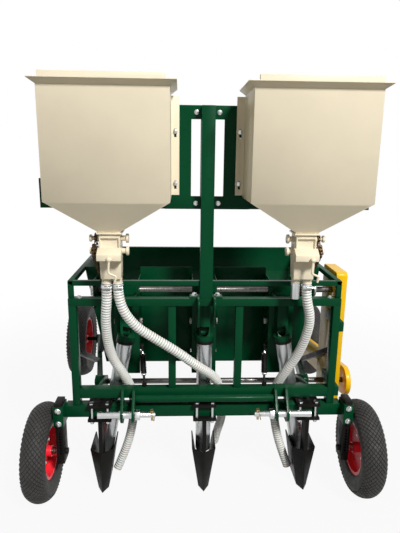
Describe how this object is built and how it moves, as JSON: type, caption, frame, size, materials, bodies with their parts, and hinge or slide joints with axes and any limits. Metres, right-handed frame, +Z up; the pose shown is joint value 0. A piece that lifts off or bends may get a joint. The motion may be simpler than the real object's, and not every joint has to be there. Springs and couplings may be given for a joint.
{
  "type": "garlic planter",
  "caption": "Tractor-mounted garlic planter: twin fertiliser hoppers on a mast, clove bin with cup elevators, seed tubes, furrow openers, gauge wheels and ground-drive wheels.",
  "frame": {"origin": "on the ground, under the middle of the machine's outline", "axes": "+X to the right seen from the hitch side, +Y from the hitch towards the rear wheels, +Z up"},
  "size_m": [1.5988, 1.6149, 1.6638],
  "materials": {
    "green_paint": "gloss",
    "yellow_paint": "gloss",
    "cream_paint": "satin",
    "black_paint": "satin",
    "red_paint": "gloss",
    "zinc_steel": "zinc plated",
    "silver_tube": "bare drawn tube",
    "oiled_chain": "oiled roller chain",
    "tyre": "matt",
    "hose_plastic": "translucent white",
    "cup_orange": "moulded",
    "nylon": "satin"
  },
  "bodies": {
    "frame": {"toolbar": "green_paint", "frame_rails": "green_paint", "frame_posts": "green_paint", "rim_side_rails": "green_paint", "rim_cross_rails": "green_paint", "mast": "green_paint", "top_link_plates": "green_paint", "hitch_plates": "green_paint", "hitch_cross_tube": "green_paint", "hitch_pins": "zinc_steel", "hopper_carrier": "green_paint", "carrier_bar": "green_paint", "hopper_left": "cream_paint", "hopper_right": "cream_paint", "meter_left": "cream_paint", "meter_right": "cream_paint", "meter_levers": "cream_paint", "meter_drives": "oiled_chain", "outlet_stub": "silver_tube", "hose_left": "hose_plastic", "hose_centre": "hose_plastic", "hose_right": "hose_plastic", "seed_bin": "green_paint", "row_unit_left": "black_paint", "row_unit_centre": "black_paint", "row_unit_right": "black_paint", "cup_belts": "cup_orange", "idler_pulleys": "zinc_steel", "belt_guides": "nylon", "drive_shaft": "zinc_steel", "frame_brackets": "green_paint", "shaft_bearings": "zinc_steel", "chutes": "black_paint", "seed_tubes": "silver_tube", "opener_left": "black_paint", "opener_centre": "black_paint", "opener_right": "black_paint", "opener_clamps": "black_paint", "clamp_bolts": "zinc_steel", "jackshaft": "zinc_steel", "rear_arms": "black_paint", "arm_braces": "black_paint", "chain_guard": "yellow_paint", "wheel_chain_guard": "yellow_paint", "tension_rods": "black_paint", "wheel_legs": "black_paint", "leg_sleeves": "green_paint"},
    "front_left_wheel": {"front_left_tyre": "tyre", "front_left_rim": "red_paint"},
    "front_right_wheel": {"front_right_tyre": "tyre", "front_right_rim": "red_paint"},
    "rear_left_wheel": {"rear_left_tyre": "tyre", "rear_left_rim": "red_paint"},
    "rear_right_wheel": {"rear_right_tyre": "tyre", "rear_right_rim": "red_paint"},
    "lid_left": {"lid_left": "cream_paint"},
    "lid_right": {"lid_right": "cream_paint"}
  },
  "joints": [
    {"name": "front_left_spin", "type": "hinge", "parent": "frame", "child": "front_left_wheel", "pos_m": [-0.668, -0.6045, 0.2], "axis": [1, 0, 0], "continuous": true},
    {"name": "front_right_spin", "type": "hinge", "parent": "frame", "child": "front_right_wheel", "pos_m": [0.668, -0.6045, 0.2], "axis": [1, 0, 0], "continuous": true},
    {"name": "rear_left_spin", "type": "hinge", "parent": "frame", "child": "rear_left_wheel", "pos_m": [-0.74, 0.5725, 0.235], "axis": [1, 0, 0], "continuous": true},
    {"name": "rear_right_spin", "type": "hinge", "parent": "frame", "child": "rear_right_wheel", "pos_m": [0.74, 0.5725, 0.235], "axis": [1, 0, 0], "continuous": true},
    {"name": "lid_left_hinge", "type": "hinge", "parent": "frame", "child": "lid_left", "pos_m": [-0.35, -0.5385, 1.648], "axis": [-1, 0, 0], "range_deg": [0, 100]},
    {"name": "lid_right_hinge", "type": "hinge", "parent": "frame", "child": "lid_right", "pos_m": [0.35, -0.5385, 1.648], "axis": [-1, 0, 0], "range_deg": [0, 100]}
  ]
}
